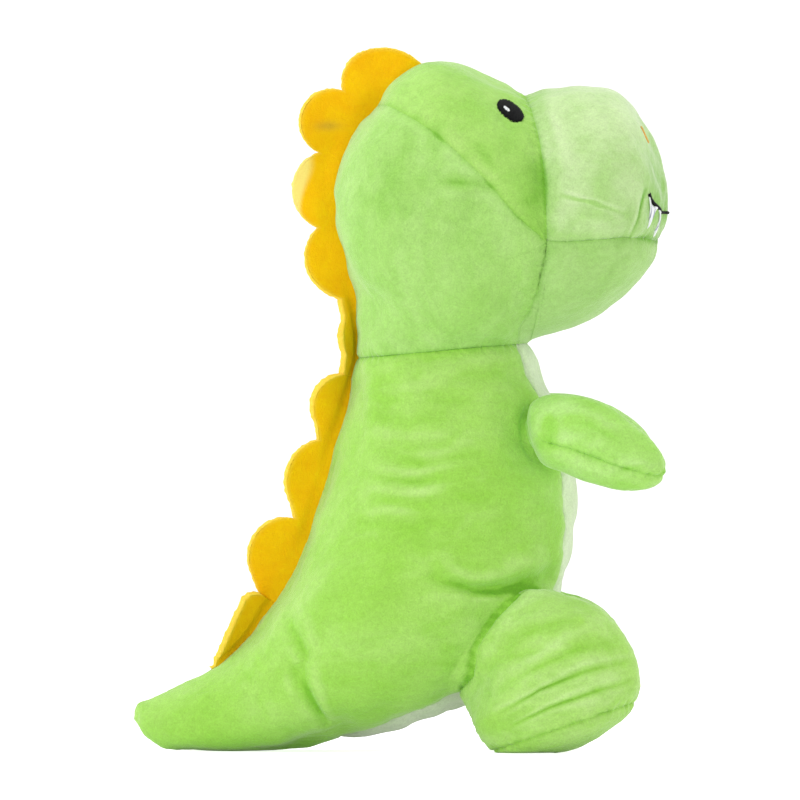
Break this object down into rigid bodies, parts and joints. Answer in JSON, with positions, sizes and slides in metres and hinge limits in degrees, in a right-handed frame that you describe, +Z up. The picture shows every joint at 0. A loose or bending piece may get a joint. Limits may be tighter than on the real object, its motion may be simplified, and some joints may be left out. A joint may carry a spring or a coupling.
{
  "type": "stuffed dinosaur",
  "caption": "Sitting plush dinosaur with a big head, scalloped felt spines, short arms, stuffed feet and a resting tail, jointed at neck, limbs and tail.",
  "frame": {"origin": "on the floor, under the middle of the bounding box", "axes": "+X forward along the muzzle, +Y to the dinosaur's left, +Z up"},
  "size_m": [0.2133, 0.1398, 0.2809],
  "materials": {
    "green_plush": "short-pile minky plush, bright lime green",
    "white_plush": "short-pile minky plush, off-white",
    "yellow_felt": "thick brushed felt, golden yellow",
    "black_thread": "black satin-stitch embroidery",
    "white_thread": "white satin-stitch embroidery",
    "yellow_thread": "golden satin-stitch embroidery",
    "fibre_fill": "white polyester fibre filling"
  },
  "bodies": {
    "torso": {"body_side_left": "green_plush", "body_side_right": "green_plush", "belly_panel": "white_plush", "base_panel": "white_plush", "torso_filling": "fibre_fill", "spine_back": "yellow_felt"},
    "neck": {"neck_band": "green_plush", "neck_filling": "fibre_fill", "spine_neck": "yellow_felt"},
    "head": {"cheek_left": "green_plush", "cheek_right": "green_plush", "crown_left": "green_plush", "crown_right": "green_plush", "muzzle_left": "green_plush", "muzzle_right": "green_plush", "jaw_panel": "green_plush", "eye_left": "black_thread", "eye_right": "black_thread", "eye_glint_left": "white_thread", "eye_glint_right": "white_thread", "nostril_left": "yellow_thread", "nostril_right": "yellow_thread", "mouth_line": "black_thread", "teeth": "white_thread", "head_filling": "fibre_fill", "spine_head": "yellow_felt"},
    "tail": {"tail_side_left": "green_plush", "tail_side_right": "green_plush", "tail_filling": "fibre_fill", "spine_tail": "yellow_felt", "tail_root_band": "green_plush", "tail_root_filling": "fibre_fill"},
    "arm_left": {"arm_upper_left": "green_plush", "arm_lower_left": "green_plush", "arm_filling_left": "fibre_fill", "shoulder_gather_left": "green_plush"},
    "leg_left": {"leg_outer_left": "green_plush", "leg_inner_left": "green_plush", "sole_left": "green_plush", "leg_filling_left": "fibre_fill", "hip_band_left": "green_plush"},
    "arm_right": {"arm_upper_right": "green_plush", "arm_lower_right": "green_plush", "arm_filling_right": "fibre_fill", "shoulder_gather_right": "green_plush"},
    "leg_right": {"leg_outer_right": "green_plush", "leg_inner_right": "green_plush", "sole_right": "green_plush", "leg_filling_right": "fibre_fill", "hip_band_right": "green_plush"}
  },
  "joints": [
    {"name": "head_turn", "type": "hinge", "parent": "torso", "child": "neck", "pos_m": [0.0174, 0, 0.1602], "axis": [0, 0, 1], "range_deg": [-20, 20], "stiffness_Nm_per_rad": 1, "deforming": ["neck_band", "neck_filling", "spine_neck"]},
    {"name": "head_nod", "type": "hinge", "parent": "neck", "child": "head", "pos_m": [0.0174, 0, 0.1602], "axis": [0, -1, 0], "range_deg": [-8, 10], "stiffness_Nm_per_rad": 3, "deforming": ["neck_band", "neck_filling", "spine_neck"]},
    {"name": "tail_wag", "type": "hinge", "parent": "torso", "child": "tail", "pos_m": [-0.0385, 0, 0.03], "axis": [0, 0, 1], "range_deg": [-14, 14], "stiffness_Nm_per_rad": 0.8, "deforming": ["tail_root_band", "tail_root_filling"]},
    {"name": "arm_left_swing", "type": "hinge", "parent": "torso", "child": "arm_left", "pos_m": [0.0555, 0.0468, 0.1295], "axis": [0, -1, 0], "range_deg": [-25, 30], "stiffness_Nm_per_rad": 0.15, "deforming": ["shoulder_gather_left"]},
    {"name": "arm_right_swing", "type": "hinge", "parent": "torso", "child": "arm_right", "pos_m": [0.0555, -0.0468, 0.1295], "axis": [0, -1, 0], "range_deg": [-25, 30], "stiffness_Nm_per_rad": 0.15, "deforming": ["shoulder_gather_right"]},
    {"name": "leg_left_lift", "type": "hinge", "parent": "torso", "child": "leg_left", "pos_m": [0.0459, 0.0455, 0.0547], "axis": [0, -1, 0], "range_deg": [0, 15], "stiffness_Nm_per_rad": 2, "deforming": ["hip_band_left"]},
    {"name": "leg_right_lift", "type": "hinge", "parent": "torso", "child": "leg_right", "pos_m": [0.0459, -0.0455, 0.0547], "axis": [0, -1, 0], "range_deg": [0, 15], "stiffness_Nm_per_rad": 2, "deforming": ["hip_band_right"]}
  ]
}
